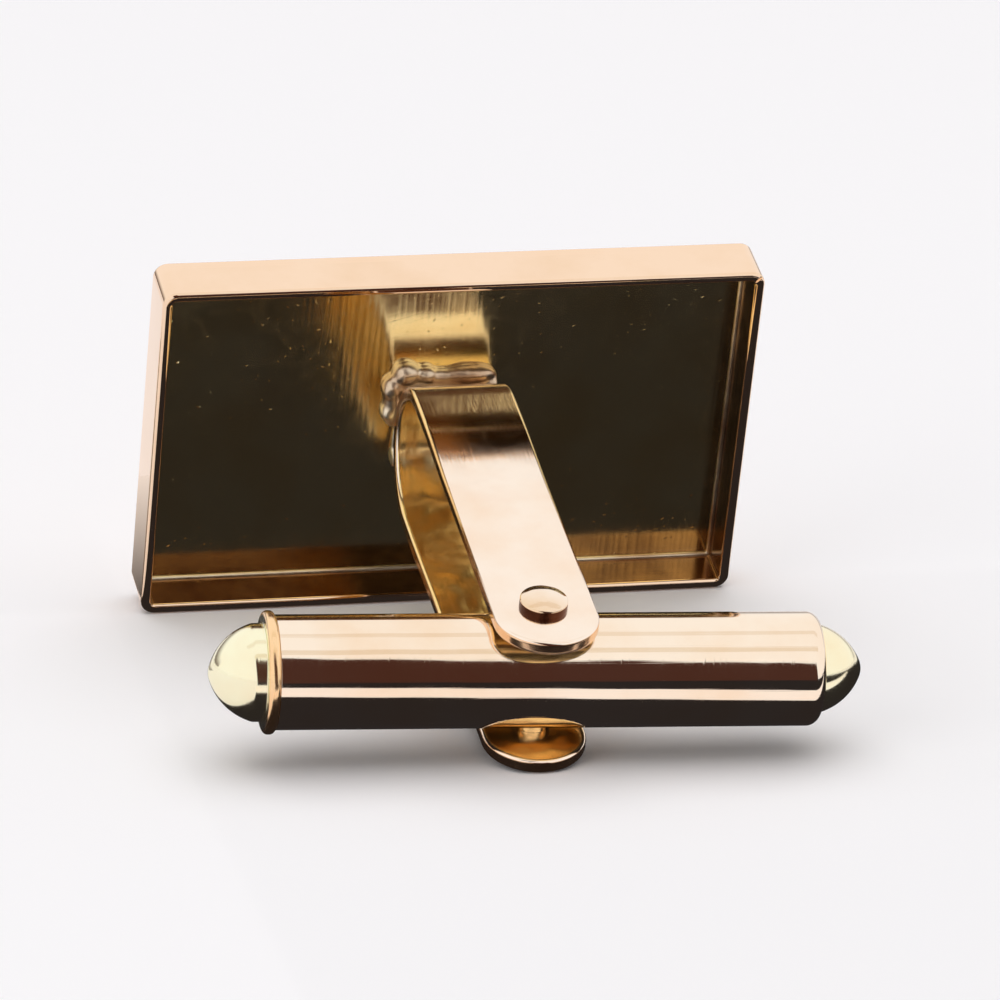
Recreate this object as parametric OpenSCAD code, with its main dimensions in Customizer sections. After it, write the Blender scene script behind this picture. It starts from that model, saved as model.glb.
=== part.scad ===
/* [Front tray] */
// Long side of the front plate
plate_len = 21; // [17:0.5:26]
// Short side of the front plate
plate_wid = 13; // [10.5:0.5:16]
// Thickness of the front plate
plate_t = 0.45; // [0.3:0.05:0.8]
// Width of the bevel round the edge of the front face
plate_bevel = 0.12; // [0.05:0.01:0.2]
// Depth of the tray, from the front face to the open edge of its rim
tray_depth = 2.1; // [1.5:0.1:3]
// Thickness of the strip that is bent into the rim
rim_wall = 0.35; // [0.25:0.05:0.7]
// Inside radius of the bends at the rim's corners
rim_bend_r = 0.15; // [0.05:0.05:1]
// Width of the soldered seam where the two ends of the rim strip meet in a corner
seam_w = 0.08; // [0.04:0.01:0.15]
// Depth to which that seam shows
seam_depth = 0.06; // [0.03:0.01:0.12]

/* [Shank] */
// Height of the pivot above the front face
pivot_h = 15.8; // [14.6:0.1:20]
// Width of the strip that is bent into the shank
strip_w = 3.5; // [2.8:0.1:4.5]
// Thickness of that strip
strip_t = 0.5; // [0.4:0.05:0.8]
// Distance from the pivot to the round tip of a leg
leg_tip = 2.25; // [2:0.05:2.6]
// Clearance between a leg and the collar of the toggle when the toggle lies in line
leg_clear = 0.06; // [0.04:0.01:0.25]

/* [Solder joint] */
// Solder left between the crown of the shank and the tray's floor
solder_bed = 0.1; // [0.05:0.01:0.2]
// Radius of the solder fillet along each side of the crown
solder_fillet_r = 0.3; // [0.15:0.05:0.5]
// Radius of the largest bead of solder that ran out beside the crown
bead_r = 0.46; // [0.3:0.02:0.54]

/* [Pivot pin] */
// Diameter of the pin
pin_d = 1.2; // [1:0.05:1.5]
// Size across the flats at the middle of the pin
pin_flats = 0.9; // [0.75:0.05:1]
// Diameter of the riveted heads
head_d = 1.6; // [1.4:0.1:2.4]
// Height of the riveted heads
head_h = 0.45; // [0.35:0.05:0.5]
// Part of that height that is domed, above a straight side
head_crown = 0.2; // [0.1:0.05:0.3]
// Radial clearance of the pin in the toggle
pin_clear = 0.03; // [0.01:0.01:0.06]
// Radial gap round the pin where it is riveted into the legs
rivet_gap = 0.01; // [0.005:0.005:0.02]

/* [Toggle] */
// Turn of the resting toggle away from square to the shank, right end away from the tray
toggle_turn = 4; // [-6:0.5:6]
// Length of the toggle over both of its domes
toggle_len = 21.8; // [18:0.2:23]
// Outer diameter of the tube
tube_d = 3.8; // [3.5:0.1:4.4]
// Wall of the tube
tube_wall = 0.35; // [0.25:0.05:0.45]
// Radius rolled onto the tube's closed end
roll_r = 0.42; // [0.3:0.02:0.6]
// Width of the lip that the rolling leaves at the closed end
lip_w = 0.35; // [0.25:0.05:0.5]
// How far the collar stands out past the tube
collar_proud = 0.14; // [0.08:0.01:0.25]
// Thickness of the collar
collar_t = 0.38; // [0.25:0.01:0.6]
// Radial gap round the spigots of the caps
spigot_gap = 0.01; // [0.005:0.005:0.02]
// Length of the spigots inside the tube
spigot_len = 1.1; // [0.7:0.1:1.6]

/* [Domes] */
// Length of the straight neck between the collar and its dome
neck_len = 0.34; // [0.2:0.02:0.8]
// Length of each dome from its base to its tip
dome_len = 1.45; // [1.2:0.05:1.8]
// Radius of the tip of the domes
dome_tip_r = 0.75; // [0.5:0.05:0.9]
// Radius of the curved flank of the domes
dome_flank_r = 2.1; // [1.8:0.1:4]
// Step from the tube's outer surface in to the base of the domes
dome_step = 0.28; // [0.25:0.01:0.42]

/* [Detent springs] */
// Thickness of the two leaf springs
leaf_t = 0.2; // [0.12:0.01:0.25]
// Camber of the leaf springs
leaf_camber = 0.38; // [0.2:0.02:0.5]
// Gap between a leaf spring and the pin at rest
leaf_gap = 0.02; // [0.01:0.01:0.04]
// Gap between the ends of the leaf springs and the spigots of the caps
leaf_end_gap = 0.2; // [0.1:0.05:0.5]

/* [Hidden] */

// The cufflink is described upright: x runs along the front plate's long side, y along its
// short side, and z from the front face back to the toggle. seated() then lays it down.
polished_gold = "#e2b67e";
plate_gold = "#e8c08c";
solder_gold = "#d8c084";
spring_steel = "#9a9c9e";

// Smoothness of round forms, and of the springs' very large radius
$fn = 96;
fine_fn = 720;
// How far every cut runs past the surface that it goes through
overrun = 0.5;

corner_r = rim_bend_r + rim_wall;
tube_r = tube_d / 2;
bore_r = tube_r - tube_wall;
collar_r = tube_r + collar_proud;
pin_r = pin_d / 2;
head_r = head_d / 2;

// The shank is a U: two parallel legs that just clear the collar, joined by a half-round arch
leg_in = collar_r + leg_clear;
leg_out = leg_in + strip_t;
crown_h = plate_t + solder_bed;
arch_h = crown_h + leg_out;
tip_centre_h = pivot_h + leg_tip - strip_w / 2;

// Places along the toggle, measured from the pivot, with the collared end on the left
collar_x = -toggle_len / 2 + dome_len + neck_len + collar_t;
lip_x = toggle_len / 2 - dome_len;
lip_bore_r = bore_r - lip_w;
dome_base_r = tube_r - dome_step;

// A leaf spring rests over a flat of the pin at its middle, and on the bore with its four corners.
// It turns with the toggle, so that it has to stay clear of one corner of the flat at rest.
flat_half_w = sqrt(pin_r * pin_r - pin_flats * pin_flats / 4);
leaf_touch = pin_flats / 2 * cos(toggle_turn) + flat_half_w * sin(abs(toggle_turn)) + leaf_gap;
leaf_seat = leaf_touch + leaf_t + leaf_camber;
leaf_half_w = sqrt(bore_r * bore_r - leaf_seat * leaf_seat);
leaf_left = collar_x + spigot_len + leaf_end_gap;
leaf_right = lip_x - lip_w - spigot_len - leaf_end_gap;
leaf_half_len = min(-leaf_left, leaf_right);
leaf_bend_r = (leaf_half_len * leaf_half_len + leaf_camber * leaf_camber) / (2 * leaf_camber);
flats_half_len = (leaf_half_w + sqrt(bore_r * bore_r - pin_r * pin_r)) / 2;

// Resting pose: the lower long edge of the rim and the tip of the lower leg touch the ground
lean = atan2(plate_wid / 2 - leg_out, pivot_h + leg_tip - tray_depth);
rest_h = plate_wid / 2 * cos(lean) + tray_depth * sin(lean);
leg_rear_y = (pivot_h + leg_tip) * cos(lean) + leg_out * sin(lean);
toggle_rear_y = (pivot_h + lip_x * sin(abs(toggle_turn))) * cos(lean) + collar_r;
rear_y = max(leg_rear_y, toggle_rear_y);
front_y = (plate_wid / 2 - plate_bevel) * sin(lean);
rest_y = (rear_y - front_y) / 2;

// Beads of solder round the upper left corner of the crown, each as [across, up, size]
bead_shares = [[-1.02, 0.06, 0.75], [-1.07, 0.45, 1], [-1.02, 0.86, 0.95], [-0.85, 1.14, 0.8], [-0.46, 1.12, 0.6]];

module seated() {
    translate([0, rest_y, rest_h]) rotate([90 + lean, 0, 0]) children();
}

// Rectangle with round corners
module round_rect(len, wid, r) {
    square([len - 2 * r, wid], center = true);
    square([len, wid - 2 * r], center = true);
    for (x = [-1, 1], y = [-1, 1]) {
        translate([x * (len / 2 - r), y * (wid / 2 - r)]) circle(r);
    }
}

// Slab with round corners whose lower edge is bevelled all the way round
module bevelled_slab(len, wid, r, bevel) {
    for (x = [-1, 1], y = [-1, 1]) {
        translate([x * (len / 2 - r), y * (wid / 2 - r), 0]) cylinder(h = bevel, r1 = r - bevel, r2 = r);
    }
    rotate([90, 0, 90]) linear_extrude(len - 2 * r, center = true) bevel_profile(wid, bevel);
    rotate([90, 0, 0]) linear_extrude(wid - 2 * r, center = true) bevel_profile(len, bevel);
}

module bevel_profile(wid, bevel) {
    polygon([
        [-wid / 2 + bevel, 0],
        [wid / 2 - bevel, 0],
        [wid / 2, bevel],
        [-wid / 2, bevel]
    ]);
}

module face_plate() {
    color(plate_gold) seated() {
        bevelled_slab(plate_len, plate_wid, corner_r, plate_bevel);
        translate([0, 0, plate_bevel]) linear_extrude(plate_t - plate_bevel)
            round_rect(plate_len, plate_wid, corner_r);
    }
}

// One strip bent round four corners and closed with a seam in the upper right one
module rim_frame() {
    seam_len = 2 * (corner_r + overrun);
    color(polished_gold) seated() difference() {
        translate([0, 0, plate_t]) linear_extrude(tray_depth - plate_t) difference() {
            round_rect(plate_len, plate_wid, corner_r);
            round_rect(plate_len - 2 * rim_wall, plate_wid - 2 * rim_wall, rim_bend_r);
        }
        translate([plate_len / 2 - corner_r, plate_wid / 2 - corner_r, tray_depth - seam_depth]) rotate(45)
            translate([0, -seam_w / 2, 0]) cube([seam_len, seam_w, seam_depth + overrun]);
    }
}

// Outline of the shank seen from the side, filled in across the arch
module shank_side(half_span, top_h) {
    translate([0, arch_h]) circle(half_span);
    translate([-half_span, arch_h]) square([2 * half_span, top_h - arch_h]);
}

// Outline of the shank's strip seen from above, with a round tip
module strip_face(length_h) {
    translate([0, length_h]) circle(strip_w / 2);
    translate([-strip_w / 2, 0]) square([strip_w, length_h]);
}

module shank() {
    top_h = pivot_h + leg_tip + overrun;
    color(polished_gold) seated() difference() {
        intersection() {
            rotate([90, 0, 90]) linear_extrude(strip_w, center = true) difference() {
                shank_side(leg_out, top_h);
                shank_side(leg_in, top_h + overrun);
            }
            rotate([90, 0, 0]) linear_extrude(2 * (leg_out + overrun), center = true) strip_face(tip_centre_h);
        }
        translate([0, 0, pivot_h]) rotate([90, 0, 0])
            cylinder(h = 2 * (leg_out + overrun), r = pin_r + rivet_gap, center = true);
    }
}

// Solder drawn into the corners between the crown of the arch and the tray's floor
module shank_solder() {
    fillet_y = sqrt(pow(leg_out + solder_fillet_r, 2) - pow(leg_out + solder_bed - solder_fillet_r, 2));
    meet_share = leg_out / (leg_out + solder_fillet_r);
    meet_h = leg_out + solder_bed - (leg_out + solder_bed - solder_fillet_r) * meet_share;
    color(solder_gold) seated() translate([0, 0, plate_t]) {
        rotate([90, 0, 90]) linear_extrude(strip_w, center = true) difference() {
            translate([-fillet_y, 0]) square([2 * fillet_y, meet_h]);
            translate([0, leg_out + solder_bed]) circle(leg_out);
            for (side = [-1, 1]) {
                translate([side * fillet_y, solder_fillet_r]) circle(solder_fillet_r);
            }
        }
        difference() {
            for (bead = bead_shares) {
                translate([bead[0] * strip_w / 2, bead[1] * fillet_y, 0]) solder_bead(bead[2] * bead_r);
            }
            translate([0, 0, leg_out + solder_bed]) rotate([0, 90, 0])
                cylinder(h = strip_w, r = leg_out, center = true);
        }
    }
}

// Half-round bead that lies on the floor
module solder_bead(r) {
    intersection() {
        sphere(r);
        cylinder(h = r, r = r);
    }
}

// Pin with round journals in the tube and legs, four flats at its middle and a head at each end
module pivot_pin() {
    crown_r = (head_r * head_r + head_crown * head_crown) / (2 * head_crown);
    color(polished_gold) seated() translate([0, 0, pivot_h]) rotate([90, 0, 0]) {
        difference() {
            cylinder(h = 2 * leg_out, r = pin_r, center = true);
            for (turn = [0 : 90 : 270]) {
                rotate(turn) translate([pin_flats / 2, -pin_d, -flats_half_len])
                    cube([pin_d, 2 * pin_d, 2 * flats_half_len]);
            }
        }
        for (end = [0, 1]) mirror([0, 0, end]) translate([0, 0, leg_out]) intersection() {
            translate([0, 0, head_h - crown_r]) sphere(crown_r);
            cylinder(h = head_h, r = head_r);
        }
    }
}

// Turns the toggle about the pivot into its resting pose
module swivelled() {
    seated() translate([0, 0, pivot_h]) rotate([0, -toggle_turn, 0]) children();
}

// Stands a form that is turned about z on the toggle's axis, with z pointing to the right
module on_toggle() {
    swivelled() rotate([0, 90, 0]) children();
}

// Tube with one open end, for the collar cap, and one rolled in to a lip, for the dome cap
module toggle_tube() {
    color(polished_gold) on_toggle() difference() {
        rotate_extrude() {
            translate([bore_r, collar_x]) square([tube_wall, lip_x - roll_r - collar_x]);
            translate([lip_bore_r, lip_x - lip_w]) square([tube_r - roll_r - lip_bore_r, lip_w]);
            translate([tube_r - roll_r, lip_x - roll_r]) intersection() {
                circle(roll_r);
                square(roll_r);
            }
        }
        rotate([90, 0, 0]) cylinder(h = tube_d + 2 * overrun, r = pin_r + pin_clear, center = true);
    }
}

// Point at distance ra from a and rb from b, on the right of the way from a to b
function meeting(a, ra, b, rb) =
    let (
        gap = norm(b - a),
        way = (b - a) / gap,
        along = (ra * ra - rb * rb + gap * gap) / (2 * gap),
        across = sqrt(ra * ra - along * along)
    )
    a + way * along + [way[1], -way[0]] * across;

// Dome turned about z: a curved flank that runs smoothly into a small round tip
module dome(base_r) {
    base_corner = [base_r, 0];
    tip_centre = [0, dome_len - dome_tip_r];
    flank_centre = meeting(tip_centre, dome_flank_r - dome_tip_r, base_corner, dome_flank_r);
    join = flank_centre + (tip_centre - flank_centre) * dome_flank_r / (dome_flank_r - dome_tip_r);
    rotate_extrude() {
        intersection() {
            translate(flank_centre) circle(dome_flank_r, $fn = fine_fn);
            square([base_r, join[1]]);
        }
        intersection() {
            translate(tip_centre) circle(dome_tip_r);
            translate([0, join[1]]) square([base_r, dome_len]);
        }
    }
}

// Cap with the raised collar, soldered into the open end
module collar_cap() {
    color(polished_gold) on_toggle() translate([0, 0, collar_x]) mirror([0, 0, 1]) {
        translate([0, 0, -spigot_len]) cylinder(h = spigot_len, r = bore_r - spigot_gap);
        cylinder(h = collar_t, r = collar_r);
        cylinder(h = collar_t + neck_len, r = dome_base_r);
        translate([0, 0, collar_t + neck_len]) dome(dome_base_r);
    }
}

// Plain cap, soldered into the lip of the rolled end
module dome_cap() {
    color(polished_gold) on_toggle() translate([0, 0, lip_x]) {
        translate([0, 0, -lip_w - spigot_len]) cylinder(h = lip_w + spigot_len, r = lip_bore_r - spigot_gap);
        dome(tube_r - roll_r);
    }
}

// Leaf spring bowed towards the pin; side is 1 behind the pin and -1 in front of it
module leaf_spring(side) {
    color(spring_steel) swivelled() rotate([90, 0, 0]) {
        intersection() {
            translate([0, side * (leaf_touch + leaf_bend_r)]) difference() {
                cylinder(h = 2 * leaf_half_w, r = leaf_bend_r, center = true, $fn = fine_fn);
                cylinder(h = 2 * (leaf_half_w + overrun), r = leaf_bend_r - leaf_t, center = true, $fn = fine_fn);
            }
            translate([-leaf_half_len, side > 0 ? 0 : -bore_r, -leaf_half_w])
                cube([2 * leaf_half_len, bore_r, 2 * leaf_half_w]);
        }
    }
}

module detent_spring_rear() {
    leaf_spring(1);
}

module detent_spring_front() {
    leaf_spring(-1);
}

face_plate();
rim_frame();
shank_solder();
shank();
pivot_pin();
toggle_tube();
collar_cap();
dome_cap();
detent_spring_rear();
detent_spring_front();
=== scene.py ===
from math import acos, atan2, cos, degrees, hypot, pi, radians, sin, sqrt

import bmesh
import bpy
from mathutils import Matrix, Vector


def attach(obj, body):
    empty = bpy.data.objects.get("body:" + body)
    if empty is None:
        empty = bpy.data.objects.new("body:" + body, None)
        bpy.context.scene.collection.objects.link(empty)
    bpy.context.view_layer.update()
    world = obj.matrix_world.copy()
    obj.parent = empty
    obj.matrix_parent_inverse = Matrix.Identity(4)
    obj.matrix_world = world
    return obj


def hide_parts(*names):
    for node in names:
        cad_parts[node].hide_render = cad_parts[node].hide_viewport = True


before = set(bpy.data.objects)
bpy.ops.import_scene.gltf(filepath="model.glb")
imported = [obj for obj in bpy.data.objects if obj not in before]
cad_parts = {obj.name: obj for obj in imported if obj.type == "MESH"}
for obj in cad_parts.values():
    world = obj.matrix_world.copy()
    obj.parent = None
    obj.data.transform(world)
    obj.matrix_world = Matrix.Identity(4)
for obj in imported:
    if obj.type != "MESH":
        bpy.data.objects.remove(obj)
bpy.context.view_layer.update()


# The front plate is the face of the cufflink: a rectangle sawn from rolled 14 carat gold sheet,
# with its edge eased all round and its face buffed to a mirror. Its back is the tray's floor.
MM = 0.001
CLOSE = 1e-4
plate_len, plate_wid, plate_t = 21, 13, 0.45
plate_bevel = 0.12
corner_r, corner_steps = 0.5, 10
tray_depth = 2.1

# Every piece is modelled upright, in millimetres, and then laid down as the cufflink rests: leaning
# back, on the front's lower long edge and the tip of the lower leg
pivot_h, leg_tip, leg_out = 15.8, 2.25, 2.6
lean = atan2(plate_wid / 2 - leg_out, pivot_h + leg_tip - tray_depth)
rest_h = plate_wid / 2 * cos(lean) + tray_depth * sin(lean)
rear_y = (pivot_h + leg_tip) * cos(lean) + leg_out * sin(lean)
front_y = (plate_wid / 2 - plate_bevel) * sin(lean)
lying = (
    Matrix.Translation(Vector((0, (rear_y - front_y) / 2, rest_h)) * MM)
    @ Matrix.Rotation(pi / 2 + lean, 4, "X")
    @ Matrix.Scale(MM, 4)
)

# Faces that meet at less than this are shaded as one
smooth_below = radians(50)


def clear_selection():
    """Leaves edit mode and selects nothing, so that the next operator acts on what comes next."""
    if bpy.context.object and bpy.context.object.mode != "OBJECT":
        bpy.ops.object.mode_set(mode="OBJECT")
    bpy.ops.object.select_all(action="DESELECT")


def select_only(piece):
    """Leaves edit mode and selects one piece alone."""
    clear_selection()
    bpy.context.view_layer.objects.active = piece
    piece.select_set(True)


def started(name):
    """Names the primitive that was just added, settles its size and opens it in edit mode."""
    piece = bpy.context.object
    piece.name = piece.data.name = name
    bpy.ops.object.transform_apply(location=True, rotation=True, scale=True)
    bpy.ops.object.mode_set(mode="EDIT")
    return piece


def pick(kind, test):
    """In edit mode, selects the vertices, edges or faces that pass the test."""
    bpy.ops.mesh.select_mode(type=kind)
    bpy.ops.mesh.select_all(action="DESELECT")
    shape = bmesh.from_edit_mesh(bpy.context.object.data)
    for element in {"VERT": shape.verts, "EDGE": shape.edges, "FACE": shape.faces}[kind]:
        if test(element):
            element.select_set(True)
    bmesh.update_edit_mesh(bpy.context.object.data)


def heights(element):
    """Heights of an edge's or face's corners."""
    return [corner.co.z for corner in element.verts]


def rises(element):
    """True for an edge or face that isn't level."""
    return max(heights(element)) - min(heights(element)) > CLOSE


def modify(piece, kind, **settings):
    """Adds a modifier to a piece and applies it."""
    select_only(piece)
    modifier = piece.modifiers.new(kind, kind)
    for setting, value in settings.items():
        setattr(modifier, setting, value)
    bpy.ops.object.modifier_apply(modifier=modifier.name)


def lay_down(piece, place):
    """Shades a piece smooth round its arrises and flat on its faces, and takes it to its place."""
    select_only(piece)
    bpy.ops.object.shade_smooth_by_angle(angle=smooth_below)
    modify(piece, "WEIGHTED_NORMAL", weight=100, keep_sharp=True)
    piece.matrix_world = place
    bpy.ops.object.transform_apply(location=True, rotation=True, scale=True)


def linear(code):
    """An sRGB hex colour as linear red, green, blue and alpha."""
    shares = [int(code[at:at + 2], 16) / 255 for at in (1, 3, 5)]
    return [s / 12.92 if s <= 0.04045 else ((s + 0.055) / 1.055) ** 2.4 for s in shares] + [1]


def add_node(tree, kind, links, **settings):
    """Adds a shader node, sets its properties, and fills or links its sockets."""
    made = tree.nodes.new(kind)
    for setting, value in settings.items():
        setattr(made, setting, value)
    for socket, value in links.items():
        if isinstance(value, bpy.types.NodeSocket):
            tree.links.new(value, made.inputs[socket])
        else:
            made.inputs[socket].default_value = value
    return made


# Tarnish and haze follow noise, with this many drifts or smears to a millimetre, and grow from the
# first level of it to the second. A buff's reach fades out between two shares of its radii.
drifts_per_mm, drift_from, drift_to = 0.35, 0.42, 0.72
smears_per_mm, smear_from, smear_to = 0.9, 0.35, 0.75
reach_from, reach_to = 0.95, 1.25

# The Mix node's sockets for two colours and for what comes out
MIX_A, MIX_B, MIXED = 6, 7, 2


def worked_metal(
    name, place, colour, dull_colour, polish, haze, strokes, ripple, ripple_size=2.2, reach=None
):
    """Metal with drifts of tarnish, smears of haze, strokes of buff or file, and a rippled skin.

    Each set of strokes gives one stroke's turn and its size in mm, the strokes' share of the skin
    and their depth in mm. The buff's reach is an ellipsoid's centre and radii in mm, and how much
    rougher the metal stays outside it.
    """
    material = bpy.data.materials.new(name)
    material.use_nodes = True
    tree = material.node_tree
    shader = tree.nodes["Principled BSDF"]
    shader.inputs["Metallic"].default_value = 1
    here = add_node(
        tree,
        "ShaderNodeMapping",
        {
            "Vector": add_node(tree, "ShaderNodeTexCoord", {}).outputs["Object"],
            "Location": place.to_translation(),
            "Rotation": place.to_euler(),
            "Scale": (MM, MM, MM),
        },
        vector_type="TEXTURE",
    ).outputs["Vector"]

    # Tarnish drifts over the alloy in patches a few millimetres across
    drift = add_node(
        tree, "ShaderNodeTexNoise", {"Vector": here, "Scale": drifts_per_mm, "Detail": 4}
    )
    patches = add_node(
        tree,
        "ShaderNodeMapRange",
        {"Value": drift.outputs["Fac"], "From Min": drift_from, "From Max": drift_to},
    )
    tone = add_node(
        tree,
        "ShaderNodeMix",
        {"Factor": patches.outputs["Result"], MIX_A: linear(colour), MIX_B: linear(dull_colour)},
        data_type="RGBA",
    )
    tree.links.new(tone.outputs[MIXED], shader.inputs["Base Color"])

    # Haze from handling lies in smears about a millimetre wide
    smears = add_node(
        tree,
        "ShaderNodeTexNoise",
        {"Vector": here, "Scale": smears_per_mm, "Detail": 6, "Distortion": 1.2},
    )
    roughness = add_node(
        tree,
        "ShaderNodeMapRange",
        {
            "Value": smears.outputs["Fac"],
            "From Min": smear_from,
            "From Max": smear_to,
            "To Min": polish,
            "To Max": polish + haze,
        },
    ).outputs["Result"]
    if reach:
        centre, radii, satin = reach
        away = add_node(
            tree,
            "ShaderNodeMapping",
            {"Vector": here, "Location": centre, "Scale": radii},
            vector_type="TEXTURE",
        )
        distance = add_node(
            tree, "ShaderNodeVectorMath", {0: away.outputs["Vector"]}, operation="LENGTH"
        ).outputs["Value"]
        border = add_node(
            tree,
            "ShaderNodeMapRange",
            {"Value": distance, "From Min": reach_from, "From Max": reach_to, "To Max": satin},
            interpolation_type="SMOOTHSTEP",
        )
        roughness = add_node(
            tree, "ShaderNodeMath", {0: roughness, 1: border.outputs["Result"]}, operation="ADD"
        ).outputs[0]
    tree.links.new(roughness, shader.inputs["Roughness"])

    # Strokes are cut into a skin that ripples slightly. Real buffing lines are too fine to show, so
    # the finest are drawn 0.05 mm wide.
    skin = add_node(
        tree, "ShaderNodeTexNoise", {"Vector": here, "Scale": 1 / ripple_size, "Detail": 1}
    )
    height = add_node(
        tree, "ShaderNodeMath", {0: skin.outputs["Fac"], 1: ripple}, operation="MULTIPLY"
    )
    for turn, size, share, depth in strokes:
        run = add_node(
            tree,
            "ShaderNodeMapping",
            {"Vector": here, "Rotation": turn, "Scale": size},
            vector_type="TEXTURE",
        )
        lines = add_node(
            tree, "ShaderNodeTexNoise", {"Vector": run.outputs["Vector"], "Scale": 1, "Detail": 0}
        )
        cut = add_node(
            tree,
            "ShaderNodeMapRange",
            {"Value": lines.outputs["Fac"], "From Min": 1 - share, "To Max": -depth},
        )
        height = add_node(
            tree,
            "ShaderNodeMath",
            {0: height.outputs[0], 1: cut.outputs["Result"]},
            operation="ADD",
        )
    bump = add_node(
        tree, "ShaderNodeBump", {"Height": height.outputs[0], "Distance": MM, "Strength": 1}
    )
    tree.links.new(bump.outputs["Normal"], shader.inputs["Normal"])
    return material


def finish(piece, main, *others):
    """Gives a piece its main finish, and each other finish to the faces that pass its test."""
    piece.data.materials.append(main)
    select_only(piece)
    bpy.ops.object.mode_set(mode="EDIT")
    for index, (other, test) in enumerate(others, 1):
        piece.data.materials.append(other)
        pick("FACE", test)
        piece.active_material_index = index
        bpy.ops.object.material_slot_assign()
    bpy.ops.object.mode_set(mode="OBJECT")


clear_selection()
bpy.ops.mesh.primitive_cube_add(
    size=1, location=(0, 0, plate_t / 2), scale=(plate_len, plate_wid, plate_t)
)
plate = started("front_plate")
pick("EDGE", rises)
bpy.ops.mesh.bevel(offset=corner_r, segments=corner_steps)
pick("EDGE", lambda edge: max(heights(edge)) < CLOSE)
bpy.ops.mesh.bevel(offset=plate_bevel, segments=4)

# 14 carat yellow gold sheet, buffed on the wheel: a pale peach mirror that hardly ripples, with a
# few hairlines from wear.
sheet_gold = worked_metal(
    "yellow_gold_sheet_buffed",
    lying,
    "#fbdcbf",
    "#f9d7b6",
    polish=0.06,
    haze=0.05,
    strokes=[
        ((0, 0, 0.2), (4, 0.05, 4), 0.4, 0.0006),
        ((0, 0, 1.4), (4, 0.05, 4), 0.38, 0.0006),
        ((0, 0, 2.5), (3, 0.05, 3), 0.37, 0.0006),
    ],
    ripple=0.006,
    ripple_size=3,
)

# The same sheet in the tray, where the wheel could not reach: yellower, satin from the emery stick
# that was rubbed up and down it, and lightly pitted by the flux. It mirrors the shank softly, in
# streaks, under a few bright specks.
tray_gold = worked_metal(
    "yellow_gold_sheet_emeried",
    lying,
    "#ffeeb6",
    "#f8dfa0",
    polish=0.12,
    haze=0.07,
    strokes=[
        ((0, 0, 1.57), (6, 0.16, 6), 0.6, 0.0022),
        ((0, 0, 1.5), (2.5, 0.05, 2.5), 0.32, 0.001),
        ((0, 0, 0.3), (2, 0.06, 2), 0.3, 0.001),
        ((0.4, 0.2, 0.3), (0.14, 0.14, 0.14), 0.22, 0.014),
    ],
    ripple=0.006,
)
finish(plate, sheet_gold, (tray_gold, lambda face: min(heights(face)) > plate_t - CLOSE))
lay_down(plate, lying)
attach(plate, "setting")
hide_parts("face_plate")


# The rim is one flat strip bent round four corners and soldered on edge to the plate, so that
# the front looks thick but weighs little. Its two ends meet in a seam in the upper right corner,
# and its open edge is rounded over by the polishing.
rim_wall = 0.35
arris_r = 0.14
seam_w, seam_depth = 0.08, 0.06


def bent_band(name, length, width, low, high, bend_r, wall):
    """A strip bent round four corners, from its size and bend radius outside and its wall."""
    clear_selection()
    bpy.ops.mesh.primitive_cube_add(
        size=1, location=(0, 0, (low + high) / 2), scale=(length, width, high - low)
    )
    band = started(name)
    pick("EDGE", rises)
    bpy.ops.mesh.bevel(offset=bend_r, segments=corner_steps)
    pick("FACE", lambda face: not rises(face))
    bpy.ops.mesh.delete(type="FACE")
    modify(band, "SOLIDIFY", thickness=wall, offset=-1, use_even_offset=True)
    bpy.ops.object.mode_set(mode="EDIT")
    return band


def is_arris(edge):
    """True for an edge where two faces meet sharply."""
    return edge.calc_face_angle(0) > 1


rim = bent_band("tray_rim", plate_len, plate_wid, plate_t, tray_depth, corner_r, rim_wall)
pick("EDGE", lambda edge: is_arris(edge) and min(heights(edge)) > tray_depth - CLOSE)
bpy.ops.mesh.bevel(offset=arris_r, segments=5)


def cut_away(piece, cutter):
    """Cuts a second piece's shape out of the first, and deletes the second."""
    modify(piece, "BOOLEAN", operation="DIFFERENCE", object=cutter, solver="EXACT")
    bpy.data.objects.remove(cutter)


clear_selection()
bpy.ops.mesh.primitive_cube_add(
    size=1,
    location=(plate_len / 2 - corner_r, plate_wid / 2 - corner_r, tray_depth),
    rotation=(0, 0, pi / 4),
    scale=(3 * corner_r, seam_w, 2 * seam_depth),
)
cut_away(rim, bpy.context.object)

# 14 carat gold strip, drawn and buffed: brighter than the sheet, with hairlines that run along it.
strip_gold = worked_metal(
    "yellow_gold_strip_buffed",
    lying,
    "#fbdcbf",
    "#f6d4b3",
    polish=0.045,
    haze=0.05,
    strokes=[
        ((0, 0, 0), (4, 4, 0.05), 0.38, 0.0004),
        ((0.06, 0.05, 0), (3, 3, 0.05), 0.36, 0.0005),
    ],
    ripple=0.006,
)

# Inside the rim the strip is painted red-brown and darker than any other gold: painted shade on
# the tray's inner walls, satin, under faint strokes of the emery stick.
painted_shade_gold = worked_metal(
    "yellow_gold_strip_painted_shade",
    lying,
    "#a98059",
    "#6a4a38",
    polish=0.14,
    haze=0.1,
    strokes=[((0, 0, 0), (3, 3, 0.09), 0.45, 0.002)],
    ripple=0.008,
)
inner_x, inner_y = plate_len / 2 - rim_wall + CLOSE, plate_wid / 2 - rim_wall + CLOSE


def faces_the_tray(face):
    """True for the faces on the inner side of the rim."""
    centre = face.calc_center_median()
    return abs(centre.x) < inner_x and abs(centre.y) < inner_y


# The rim's inner faces take the painted shade
finish(rim, strip_gold, (painted_shade_gold, faces_the_tray))
lay_down(rim, lying)
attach(rim, "setting")
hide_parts("rim_frame")

# A thread of solder fills the corner between the plate and the rim, all the way round.
thread_r = 0.11
thread_round_r = 0.8 * thread_r
thread_x = plate_len / 2 - rim_wall - thread_r / 2
thread_y = plate_wid / 2 - rim_wall - thread_r / 2


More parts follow.
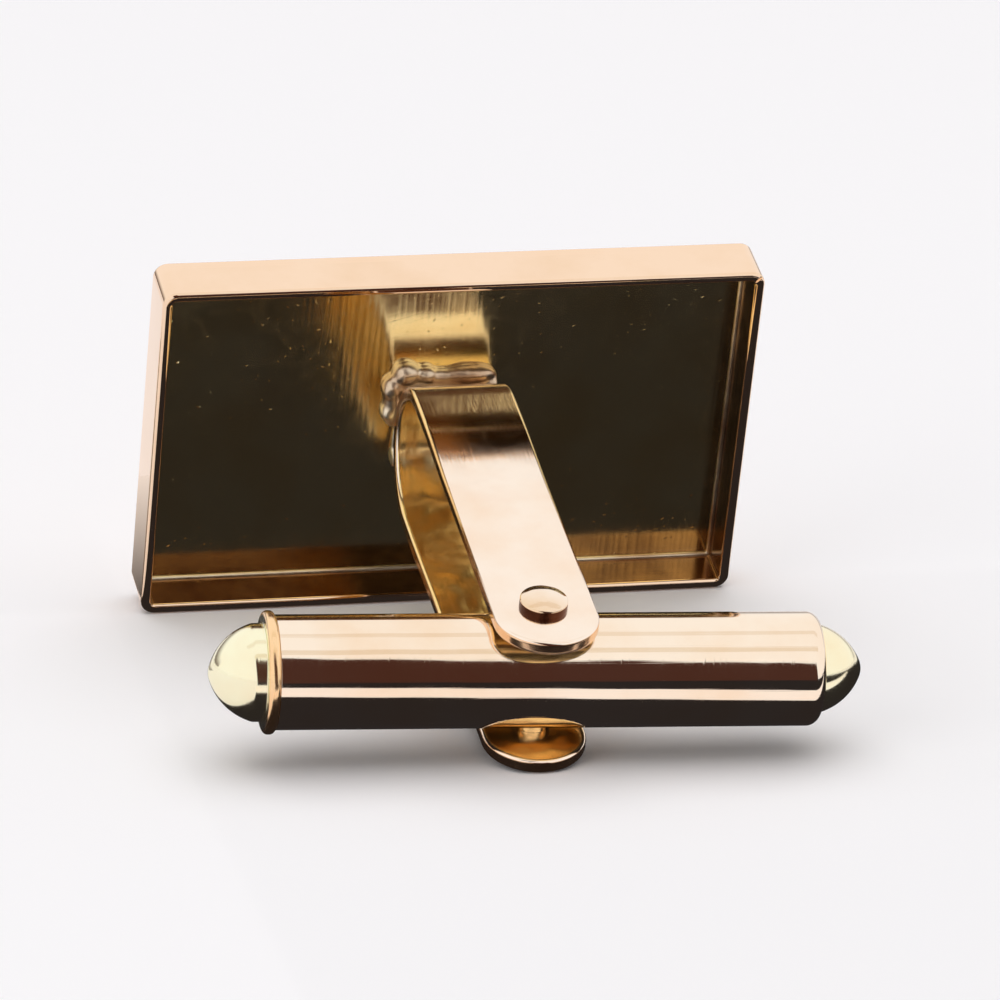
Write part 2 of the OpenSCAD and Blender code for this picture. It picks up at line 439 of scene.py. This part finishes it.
def heads_inward(edge):
    """True for the upper edge of the thread that faces the middle of the tray."""
    return min(heights(edge)) > plate_t and all(
        abs(corner.co.x) < thread_x and abs(corner.co.y) < thread_y for corner in edge.verts
    )


thread = bent_band(
    "rim_solder",
    plate_len - 2 * rim_wall,
    plate_wid - 2 * rim_wall,
    plate_t - CLOSE,
    plate_t + thread_r,
    corner_r - rim_wall,
    thread_r,
)
pick("EDGE", heads_inward)
bpy.ops.mesh.bevel(offset=thread_round_r, segments=4)

# Hard gold solder, left as it flowed: paler than the alloy, satin on its lumps and browned in
# patches.
solder_gold = worked_metal(
    "gold_solder_as_flowed",
    lying,
    "#fff1d6",
    "#b98a63",
    polish=0.3,
    haze=0.12,
    strokes=[((0.4, 0.9, 0.3), (0.5, 0.06, 0.06), 0.3, 0.001)],
    ripple=0.008,
    ripple_size=0.45,
)
finish(thread, solder_gold)
lay_down(thread, lying)
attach(thread, "setting")


# The shank is one strip with round ends, drilled at both, bent into a U round a former and
# soldered to the tray by the crown of its arch. Its legs hold the toggle between them.
strip_w, strip_t = 3.5, 0.5
strip_round_r = 0.15
leg_in = leg_out - strip_t
solder_bed = 0.1
crown_h = plate_t + solder_bed
arch_h = crown_h + leg_out
tip_centre_h = pivot_h + leg_tip - strip_w / 2
leg_steps = 26
leg_step = (tip_centre_h - arch_h) / leg_steps
pin_r = 0.6
leg_clearance = 0.01

clear_selection()
bpy.ops.mesh.primitive_cylinder_add(
    vertices=96,
    radius=strip_w / 2,
    depth=strip_t,
    location=(0, (leg_in + leg_out) / 2, tip_centre_h),
    rotation=(pi / 2, 0, 0),
)
shank = started("shank_strip")
bpy.ops.mesh.select_all(action="SELECT")
bpy.ops.mesh.bisect(
    plane_co=(0, 0, tip_centre_h),
    plane_no=(0, 0, 1),
    use_fill=True,
    clear_inner=True,
    threshold=CLOSE,
)
for step in range(leg_steps):
    foot = tip_centre_h - leg_step * step
    pick("FACE", lambda face: max(heights(face)) < foot + CLOSE)
    bpy.ops.mesh.extrude_region_move(TRANSFORM_OT_translate={"value": (0, 0, -leg_step)})
pick("FACE", lambda face: max(heights(face)) < arch_h + CLOSE)
bpy.ops.mesh.delete(type="ONLY_FACE")
pick("EDGE", lambda edge: max(heights(edge)) < arch_h + CLOSE)
bpy.ops.mesh.spin(
    steps=32, angle=pi / 2, use_auto_merge=False, center=(0, 0, arch_h), axis=(1, 0, 0)
)

# Bending by hand leaves the legs slightly bowed above the arch
bow, bow_reach, bow_h = 0.1, 4, 4.2
pick("VERT", lambda corner: abs(corner.co.z - bow_h) < leg_step)
bpy.ops.transform.translate(
    value=(0, bow, 0),
    use_proportional_edit=True,
    proportional_edit_falloff="SMOOTH",
    proportional_size=bow_reach,
)
modify(shank, "MIRROR", use_axis=(False, True, False), merge_threshold=CLOSE)
bpy.ops.object.mode_set(mode="EDIT")
pick("EDGE", is_arris)
bpy.ops.mesh.bevel(offset=strip_round_r, segments=6)


def drill(piece, clearance, half_width, height=0):
    """Drills the pin's hole across a piece, with a drill longer than the piece is wide."""
    clear_selection()
    bpy.ops.mesh.primitive_cylinder_add(
        vertices=64,
        radius=pin_r + clearance,
        depth=3 * half_width,
        location=(0, 0, height),
        rotation=(pi / 2, 0, 0),
    )
    cut_away(piece, bpy.context.object)


drill(shank, leg_clearance, leg_out, pivot_h)

# 14 carat gold strip again, bent and buffed: the flat faces of its legs ripple a little, and the
# marks of the drawing plate run along it. Beside the tray the buff hardly reached it.
shank_gold = worked_metal(
    "yellow_gold_strip_bent",
    lying,
    "#feeddc",
    "#fbe2ca",
    polish=0.07,
    haze=0.06,
    strokes=[
        ((0, 0, 0), (0.07, 6, 6), 0.6, 0.001),
        ((0.3, 1.4, 0), (2, 0.05, 0.05), 0.31, 0.0012),
    ],
    ripple=0.008,
    reach=((0, 0, 17), (50, 50, 13), 0.1),
)

# Between its legs no buff could pass: the strip keeps its rolled skin there, satin, with the
# shallow hammer marks of its bending. Its deeper yellow is a painted sheen of the gold light that
# bounces between the legs.
shank_inside_painted_sheen_gold = worked_metal(
    "yellow_gold_strip_rolled_painted_sheen",
    lying,
    "#ffe4aa",
    "#f9cc88",
    polish=0.2,
    haze=0.06,
    strokes=[((0, 0, 0), (0.12, 4, 4), 0.5, 0.002)],
    ripple=0.09,
    ripple_size=1.1,
)

# The strip's edges are filed round and only brushed by the buff: satin, with the file's lines
# along them.
edge_gold = worked_metal(
    "yellow_gold_strip_filed",
    lying,
    "#f8cda4",
    "#dfa97c",
    polish=0.14,
    haze=0.1,
    strokes=[((0, 0, 0), (0.05, 0.05, 3), 0.5, 0.001)],
    ripple=0.012,
    ripple_size=0.8,
)

# An inner face looks out of the U by less than the first share, and an edge by less than the
# second either way
inner_share, edge_share = -0.9, 0.5


def outward_share(face):
    """How far a face of the strip looks out of the U: from 1, straight out, to -1, straight in."""
    centre = face.calc_center_median()
    return face.normal.dot(Vector((0, centre.y, min(centre.z - arch_h, 0))).normalized())


# The inner faces take the painted sheen, and the edges their satin
finish(
    shank,
    shank_gold,
    (shank_inside_painted_sheen_gold, lambda face: outward_share(face) < inner_share),
    (edge_gold, lambda face: abs(outward_share(face)) < edge_share),
)
lay_down(shank, lying)
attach(shank, "setting")
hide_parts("shank")


# The solder joint between the crown and the tray: a bed that drew into fillets along both sides,
# and beads that ran out round the upper left corner and froze there, never filed off.
fillet_r = 0.3
rod_inset, rod_rise = 0.62 * fillet_r, 0.4 * fillet_r
rod_scale = (0.9, 1.1, 1)
bed_skin = 0.03
flow_size, flow_depth = 0.5, 0.06

# A fillet that touches both the arch and the plate has its centre this far from the middle
fillet_y = sqrt((leg_out + fillet_r) ** 2 - (leg_out + solder_bed - fillet_r) ** 2)

# Each lump as its place, in shares of the strip's half width and of the fillets' distance from the
# middle, and its radii in mm. Their centres stand a little above the plate.
lump_lift = 0.08
lumps = [
    ((0.05, 1.12), (1.72, 0.30, 0.30)),
    ((0.44, 1.16), (0.96, 0.34, 0.38)),
    ((-0.44, 1.20), (0.40, 0.32, 0.38)),
    ((-0.84, 1.24), (0.52, 0.44, 0.44)),
    ((-1.06, 0.56), (0.36, 1.10, 0.34)),
    ((-1.10, 0.88), (0.40, 0.50, 0.42)),
    ((-1.14, 0.30), (0.30, 0.40, 0.34)),
]

clear_selection()
bpy.ops.mesh.primitive_cube_add(
    size=1,
    location=(0, 0, plate_t + solder_bed / 2),
    scale=(strip_w, 2 * fillet_y, solder_bed + bed_skin),
)
solder = started("crown_solder")
clear_selection()


def join_to(piece):
    """Joins the primitive that was just added to a piece."""
    piece.select_set(True)
    bpy.context.view_layer.objects.active = piece
    bpy.ops.object.join()
    clear_selection()


# A rod along each side of the crown, and then the lumps
for side in (-1, 1):
    bpy.ops.mesh.primitive_cylinder_add(
        vertices=48,
        radius=fillet_r,
        depth=strip_w,
        location=(0, side * (fillet_y - rod_inset), plate_t + rod_rise),
        rotation=(0, pi / 2, 0),
    )
    bpy.context.object.scale = rod_scale
    join_to(solder)
for (across, up), radii in lumps:
    bpy.ops.mesh.primitive_ico_sphere_add(
        subdivisions=4,
        radius=1,
        location=(across * strip_w / 2, up * fillet_y, plate_t + lump_lift),
        scale=radii,
    )
    join_to(solder)

# They melt together, wrinkle as they freeze, and are smoothed a little
modify(solder, "REMESH", mode="VOXEL", voxel_size=0.035)
modify(solder, "SMOOTH", factor=0.8, iterations=30)
flow = bpy.data.textures.new("frozen_flow", "CLOUDS")
flow.noise_scale = flow_size
modify(
    solder, "DISPLACE", texture=flow, texture_coords="LOCAL", strength=flow_depth, mid_level=0.5
)
modify(solder, "SMOOTH", factor=0.5, iterations=8)

finish(solder, solder_gold)
lay_down(solder, lying)
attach(solder, "setting")
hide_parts("shank_solder")


# The toggle's tube is cut from drawn gold tube: square at the left end for the collared cap,
# spun in to a round shoulder at the right, and drilled across its middle for the pin.
toggle_turn = radians(4)
toggle_len = 21.8
tube_r, tube_wall, tube_chamfer = 1.9, 0.35, 0.03
tube_clearance = 0.03
bore_r = tube_r - tube_wall
roll_r, lip_w = 0.42, 0.35
dome_len, neck_len, collar_t = 1.45, 0.34, 0.38
collar_x = -toggle_len / 2 + dome_len + neck_len + collar_t
lip_x = toggle_len / 2 - dome_len
lip_bore_r = bore_r - lip_w

# The toggle's pieces are turned upright, and then laid across the shank, a little off square
swivelled = (
    lying
    @ Matrix.Translation((0, 0, pivot_h))
    @ Matrix.Rotation(-toggle_turn, 4, "Y")
    @ Matrix.Rotation(pi / 2, 4, "Y")
)


def arc(centre, radius, start, end, steps=8):
    """Points along an arc of an outline, from one angle to another, in degrees."""
    turns = [radians(start + (end - start) * step / steps) for step in range(steps + 1)]
    return [(centre[0] + radius * cos(turn), centre[1] + radius * sin(turn)) for turn in turns]


def turned(name, outline):
    """A piece turned about z, from its outline's distances from the axis and places along it."""
    clear_selection()
    bpy.ops.mesh.primitive_plane_add(size=CLOSE, location=(outline[0][0], 0, outline[0][1]))
    piece = started(name)
    bpy.ops.mesh.select_mode(type="VERT")
    bpy.ops.mesh.select_all(action="SELECT")
    bpy.ops.mesh.merge(type="CENTER")
    for near, far in zip(outline, outline[1:]):
        step = (far[0] - near[0], 0, far[1] - near[1])
        bpy.ops.mesh.extrude_region_move(TRANSFORM_OT_translate={"value": step})
    bpy.ops.mesh.select_all(action="SELECT")
    bpy.ops.mesh.spin(
        steps=128, angle=2 * pi, use_auto_merge=False, center=(0, 0, 0), axis=(0, 0, 1)
    )
    bpy.ops.mesh.select_all(action="SELECT")
    bpy.ops.mesh.remove_doubles(threshold=CLOSE)
    bpy.ops.mesh.normals_make_consistent(inside=False)
    return piece


tube = turned(
    "toggle_barrel",
    [
        (bore_r, collar_x),
        (tube_r - tube_chamfer, collar_x),
        (tube_r, collar_x + tube_chamfer),
    ]
    + arc((tube_r - roll_r, lip_x - roll_r), roll_r, 0, 90, 12)
    + [
        (lip_bore_r, lip_x),
        (lip_bore_r, lip_x - lip_w),
        (bore_r, lip_x - lip_w),
        (bore_r, collar_x),
    ],
)
drill(tube, tube_clearance, tube_r)

# Drawn 14 carat tube, buffed while it turned: hairlines run along it and round it, and the long
# reflections waver a little where the wall was drawn unevenly.
tube_gold = worked_metal(
    "yellow_gold_tube_drawn",
    swivelled,
    "#fdebd6",
    "#fae0c4",
    polish=0.05,
    haze=0.05,
    strokes=[
        ((0, 0, 0), (0.05, 0.05, 5), 0.34, 0.0012),
        ((0, 0, 0), (2, 2, 0.05), 0.32, 0.0009),
    ],
    ripple=0.055,
    ripple_size=4,
)
finish(tube, tube_gold)
lay_down(tube, swivelled)
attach(tube, "toggle")
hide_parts("toggle_tube")


# The caps are turned from solid gold: a spigot soldered in the tube, and a dome shaped like the
# nose of a bullet. The left one also has a collar, which covers the tube's cut end.
collar_proud, collar_round_r = 0.14, 0.16
collar_r = tube_r + collar_proud
collar_foot = collar_x - collar_t
neck_step, neck_chamfer = 0.28, 0.04
dome_base_r = tube_r - neck_step
dome_tip_r, dome_flank_r = 0.75, 2.1
spigot_len, spigot_gap = 1.1, 0.01


def dome(base_r):
    """Outline of a dome from its base up: a curved flank that runs into a small round tip."""
    tip = Vector((0, dome_len - dome_tip_r))
    way = Vector((base_r, 0)) - tip
    gap = way.length
    way /= gap
    # The flank's circle passes through the base's edge and holds the tip's circle inside it
    along = ((dome_flank_r - dome_tip_r) ** 2 - dome_flank_r**2 + gap**2) / (2 * gap)
    across = sqrt((dome_flank_r - dome_tip_r) ** 2 - along**2)
    flank = tip + way * along + Vector((way.y, -way.x)) * across
    base_turn = degrees(atan2(-flank.y, base_r - flank.x))
    join_turn = degrees(atan2(tip.y - flank.y, tip.x - flank.x))
    outline = arc(flank, dome_flank_r, base_turn, join_turn, 20)
    return outline + arc(tip, dome_tip_r, join_turn, 90, 12)[1:]


def mirrored(outline, foot):
    """The outline turned end for end, with its base at foot."""
    return [(radius, foot - along) for radius, along in outline]


collared_cap = turned(
    "collared_cap",
    [
        (0, collar_x + spigot_len),
        (bore_r - spigot_gap, collar_x + spigot_len),
        (bore_r - spigot_gap, collar_x),
    ]
    + arc((collar_r - collar_round_r, collar_x - collar_round_r), collar_round_r, 90, 0, 5)
    + arc((collar_r - collar_round_r, collar_foot + collar_round_r), collar_round_r, 0, -90, 5)
    + [(dome_base_r + neck_chamfer, collar_foot), (dome_base_r, collar_foot - neck_chamfer)]
    + mirrored(dome(dome_base_r), collar_foot - neck_len),
)

plain_cap = turned(
    "plain_cap",
    [
        (0, lip_x - lip_w - spigot_len),
        (lip_bore_r - spigot_gap, lip_x - lip_w - spigot_len),
        (lip_bore_r - spigot_gap, lip_x),
    ]
    + [(radius, lip_x + along) for radius, along in dome(tube_r - roll_r)],
)

# 14 carat gold turned in a lathe and buffed: fine rings, which pull each reflection into a streak
# round the dome.
cap_gold = worked_metal(
    "yellow_gold_turned",
    swivelled,
    "#fdf7d6",
    "#fbe9c3",
    polish=0.1,
    haze=0.08,
    strokes=[
        ((0, 0, 0), (2, 2, 0.05), 0.4, 0.0012),
        ((1.1, 0.3, 0), (1, 0.05, 0.05), 0.31, 0.001),
    ],
    ripple=0.006,
)

# The collar takes the knocks and has lost part of its polish. Its warm orange is a painted
# reflection of gold in gold.
worn_collar_painted_reflection = worked_metal(
    "yellow_gold_turned_worn_painted_reflection",
    swivelled,
    "#ffd8a8",
    "#f9bc84",
    polish=0.16,
    haze=0.1,
    strokes=[((0, 0, 0), (0.3, 0.3, 0.3), 0.45, 0.006)],
    ripple=0.02,
    ripple_size=0.6,
)


def is_collar(face):
    """True for the faces of the collar on the left cap."""
    centre = face.calc_center_median()
    return hypot(centre.x, centre.y) > dome_base_r + collar_round_r and centre.z < collar_x - CLOSE


# The collar takes the painted reflection
finish(collared_cap, cap_gold, (worn_collar_painted_reflection, is_collar))
finish(plain_cap, cap_gold)
for cap, node_name in ((collared_cap, "collar_cap"), (plain_cap, "dome_cap")):
    lay_down(cap, swivelled)
    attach(cap, "toggle")
    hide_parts(node_name)


# Two leaf springs sit in the tube and press on the flats of the pin. They are never seen, so
# their solids stay, with the finish of the blued strip that they are punched from.
spring_steel = worked_metal(
    "spring_steel_strip_blued",
    swivelled,
    "#8d9096",
    "#6d6a72",
    polish=0.3,
    haze=0.15,
    strokes=[((0, 0, 0), (0.05, 0.05, 4), 0.5, 0.002)],
    ripple=0.002,
)
for spring_name in ("detent_spring_rear", "detent_spring_front"):
    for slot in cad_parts[spring_name].material_slots:
        slot.material = spring_steel


# The pivot pin is a length of gold wire with four flats filed on its middle. It is pushed through
# legs and tube and then riveted over at both ends with a small hammer.
across_flats, flats_len = 0.9, 2.4
head_r, head_h, head_crown = 0.8, 0.45, 0.2
head_round_r = 0.08
crossing = lying @ Matrix.Translation((0, 0, pivot_h)) @ Matrix.Rotation(pi / 2, 4, "X")

# A head's shallow crown and its rounded edge run into each other at the angle crown_edge
crown_r = (head_r**2 + head_crown**2) / (2 * head_crown)
crown_centre = leg_out + head_h - crown_r
crown_edge = acos((head_r - head_round_r) / (crown_r - head_round_r))
round_centre = crown_centre + (crown_r - head_round_r) * sin(crown_edge)
head = (
    arc((0, crown_centre), crown_r, 90, degrees(crown_edge), 10)
    + arc((head_r - head_round_r, round_centre), head_round_r, degrees(crown_edge), 0, 4)[1:]
    + [(head_r, leg_out)]
)
pin = turned(
    "pivot_pin_riveted",
    head
    + [(pin_r, leg_out), (pin_r, -leg_out)]
    + [(radius, -along) for radius, along in reversed(head)],
)
for turn in (0, pi / 2, pi, 3 * pi / 2):
    clear_selection()
    bpy.ops.mesh.primitive_cube_add(
        size=1,
        location=(across_flats * cos(turn), across_flats * sin(turn), 0),
        rotation=(0, 0, turn),
        scale=(across_flats, 2 * pin_r, flats_len),
    )
    cut_away(pin, bpy.context.object)

# 14 carat gold wire, hammered over: the heads keep small facets from the blows under a quick
# polish.
rivet_gold = worked_metal(
    "yellow_gold_wire_riveted",
    crossing,
    "#fdebd8",
    "#f3d3ae",
    polish=0.07,
    haze=0.08,
    strokes=[((0, 0, 0.5), (1, 0.05, 0.05), 0.31, 0.001)],
    ripple=0.02,
    ripple_size=0.5,
)

# Round each head the straight side is painted a dull brown ring: painted shade in the angle where
# the head meets the leg.
head_side_painted_shade = worked_metal(
    "painted_shade_round_heads",
    crossing,
    "#7b4a32",
    "#4a2a1c",
    polish=0.3,
    haze=0.2,
    strokes=[((0, 0, 0), (0.1, 0.1, 0.1), 0.4, 0.004)],
    ripple=0.02,
    ripple_size=0.3,
)


def is_beside_a_head(face):
    """True for the straight sides of the heads."""
    centre = face.calc_center_median()
    return hypot(centre.x, centre.y) > head_r - head_round_r and abs(centre.z) < round_centre


# The heads' straight sides take the painted shade
finish(pin, rivet_gold, (head_side_painted_shade, is_beside_a_head))
lay_down(pin, crossing)
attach(pin, "setting")
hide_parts("pivot_pin")


# The stage: a pale floor in plain soft light. Polished gold shows only what it reflects, so, as
# in a jeweller's light tent, cards stand where the photograph has its darker reflections, and
# behind the front. They show in reflections alone.
floor_size = 3
floor_colour, floor_roughness = "#fbf9fb", 0.9

clear_selection()
bpy.ops.mesh.primitive_plane_add(size=floor_size)
floor = bpy.context.object
floor.name = "floor"
paper = bpy.data.materials.new("matt_white_paper")
paper.use_nodes = True
paper_shader = paper.node_tree.nodes["Principled BSDF"]
paper_shader.inputs["Base Color"].default_value = linear(floor_colour)
paper_shader.inputs["Roughness"].default_value = floor_roughness
floor.data.materials.append(paper)


def reflected_card(name, centre, size, turn, colour, upper_colour=None):
    """A card that shows only in reflections, of a size in metres and turned by angles in degrees.

    With a second colour, the card fades to it from its lower edge to its upper.
    """
    clear_selection()
    bpy.ops.mesh.primitive_plane_add(
        size=1, location=centre, rotation=[radians(angle) for angle in turn]
    )
    card = bpy.context.object
    card.name = name
    card.scale = (*size, 1)
    card.visible_camera = card.visible_diffuse = False
    card.visible_shadow = card.visible_transmission = False
    glow = bpy.data.materials.new(name)
    glow.use_nodes = True
    tree = glow.node_tree
    tree.nodes.remove(tree.nodes["Principled BSDF"])
    spot = add_node(tree, "ShaderNodeTexCoord", {}).outputs["Generated"]
    height = add_node(tree, "ShaderNodeSeparateXYZ", {"Vector": spot}).outputs["Y"]
    fade = add_node(
        tree,
        "ShaderNodeMix",
        {"Factor": height, MIX_A: linear(colour), MIX_B: linear(upper_colour or colour)},
        data_type="RGBA",
    )
    light = add_node(tree, "ShaderNodeEmission", {"Color": fade.outputs[MIXED]})
    tree.links.new(light.outputs["Emission"], tree.nodes["Material Output"].inputs["Surface"])
    card.data.materials.append(glow)


# Three flags give the tray, the toggle's two stripes and the rim's left side their dark. The slip
# is the bright line between the stripes, the battens are the faint bars above them, and the fade
# keeps the front face from looking blank.
flat = (0, 0, 0)
for card_settings in (
    ("dark_flag_front", (0.0003, -0.1, 0.0383), (0.19, 0.0605), (90, 66.5, 0), "#4a3029"),
    ("dark_flag_ground", (0.02425, -0.0458, 0.00005), (0.0715, 0.1084), flat, "#2b2829"),
    ("dark_flag_left", (-0.0204, 0.0152, 0.00005), (0.0192, 0.0134), flat, "#3f3833", "#f2efee"),
    ("bright_slip", (0.0095, -0.0109, 0.0016), (0.041, 0.0013), (90, 2, 0), "#fffafa"),
    ("tent_batten_front", (0.025, -0.36, 0.6), (0.85, 0.14), flat, "#f0e8dc"),
    ("tent_batten_top", (0.025, 0.06, 0.6), (0.85, 0.12), flat, "#f4eee6"),
    ("fade_rear", (0, 0.12, 0.02), (0.5, 0.04), (90, 4, 0), "#4d3526", "#ffffff"),
):
    reflected_card(*card_settings)

# The world is white to the camera and in reflections, and lights the cufflink at less than half
sky_light = 0.45
world = bpy.data.worlds.new("studio")
bpy.context.scene.world = world
world.use_nodes = True
sky = world.node_tree
path = add_node(sky, "ShaderNodeLightPath", {})
shown = path.outputs["Is Camera Ray"]
for ray in ("Is Glossy Ray", "Is Transmission Ray"):
    shown = add_node(
        sky, "ShaderNodeMath", {0: shown, 1: path.outputs[ray]}, operation="MAXIMUM"
    ).outputs[0]
level = add_node(sky, "ShaderNodeMapRange", {"Value": shown, "To Min": sky_light, "To Max": 1})
sky.links.new(level.outputs["Result"], sky.nodes["Background"].inputs["Strength"])
sky.nodes["Background"].inputs["Color"].default_value = linear("#ffffff")

for name, place, size, power in (
    ("softbox_top", (0.03, 0, 0.61), 0.8, 2.6),
    ("softbox_left", (-0.6, -0.35, 0.35), 0.5, 1.1),
):
    clear_selection()
    bpy.ops.object.light_add(type="AREA", location=place)
    lamp = bpy.context.object
    lamp.name = name
    lamp.data.size = size
    lamp.data.energy = power
    lamp.visible_glossy = False
    lamp.rotation_euler = (-Vector(place)).to_track_quat("-Z", "Y").to_euler()


# The camera stands where a fit of the cufflink's corners puts the photograph's, and looks through
# a lens four times as long, so that the cufflink fills the frame.
camera_place = Vector((-0.0555, -0.23125, 0.09106))
camera_aim = Vector((0.00024, -0.00004, 0.00653))
camera_roll = radians(2.15)
photo_lens = 67.5
crop = 4

clear_selection()
bpy.ops.object.camera_add(location=camera_place)
camera = bpy.context.object
camera.name = "camera"
camera.data.lens = photo_lens * crop
camera.data.clip_start = 0.01
look = (camera_aim - camera_place).to_track_quat("-Z", "Y").to_matrix()
camera.rotation_euler = (look @ Matrix.Rotation(camera_roll, 3, "Z")).to_euler()
bpy.context.scene.camera = camera
bpy.context.scene.view_settings.view_transform = "Standard"
